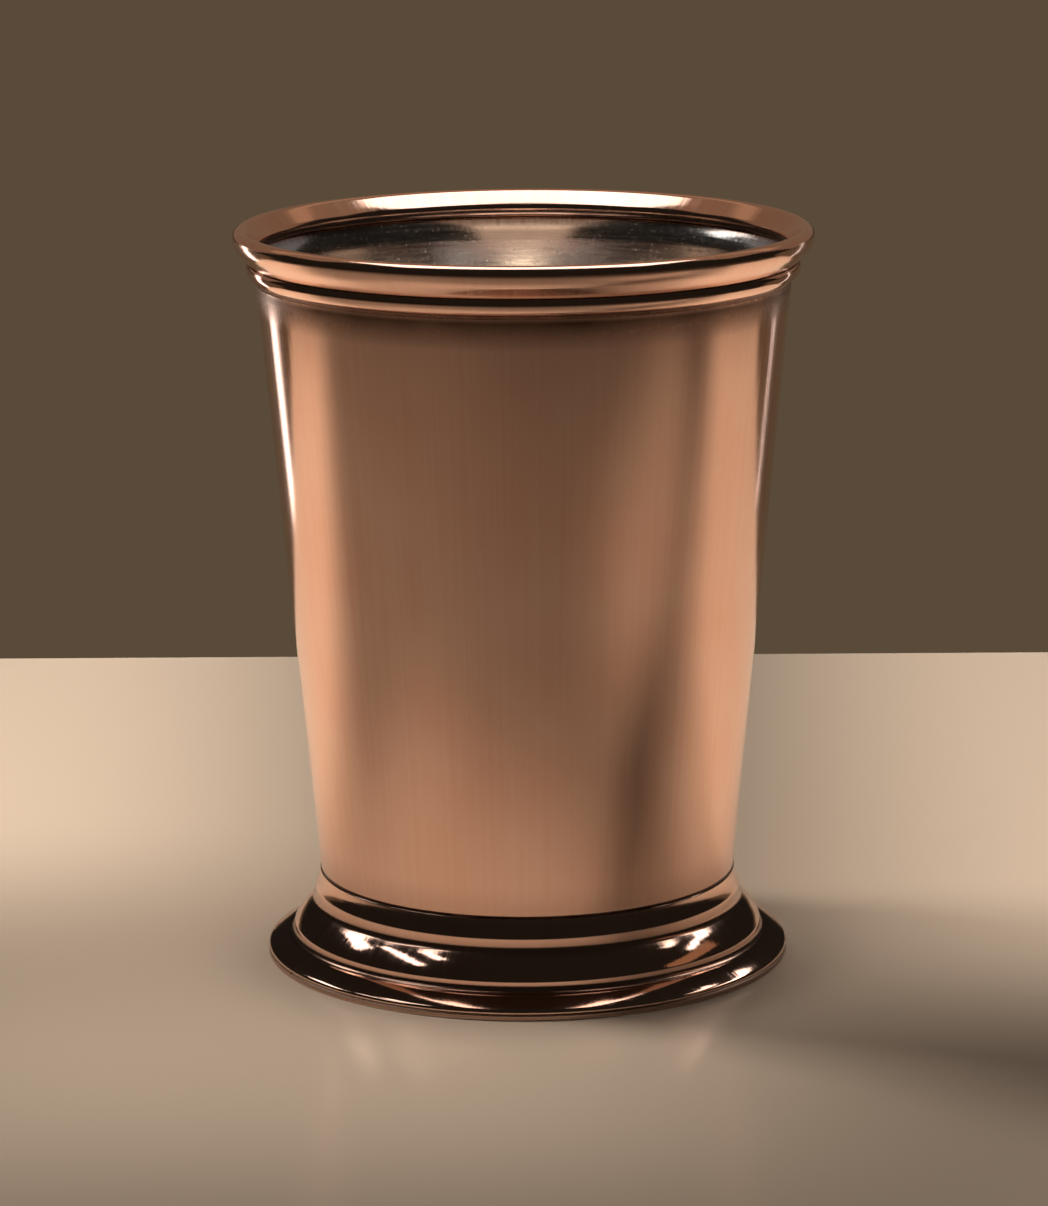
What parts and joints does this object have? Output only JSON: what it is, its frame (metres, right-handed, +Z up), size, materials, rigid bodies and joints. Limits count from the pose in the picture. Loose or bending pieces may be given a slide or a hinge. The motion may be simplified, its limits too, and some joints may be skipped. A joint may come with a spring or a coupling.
{
  "type": "julep cup",
  "caption": "Polished copper julep cup with a silver-coloured lining, a rolled lip, a half-round bead under it and a stepped foot.",
  "frame": {"origin": "centre of the resting face of the base plate, at table height", "axes": "+Z up along the axis of the cup, X and Y free because the cup is round"},
  "size_m": [0.0858, 0.0858, 0.11],
  "materials": {
    "copper": "mirror-polished copper",
    "lining": "polished, finely brushed round",
    "braze": "dressed braze, dulled in the corner"
  },
  "bodies": {
    "root": {"body": "copper", "liner": "lining", "rim_bead": "copper", "bead_braze": "braze", "foot_ring": "copper", "foot_braze": "braze", "base_plate": "copper", "base_braze": "braze"}
  },
  "joints": []
}
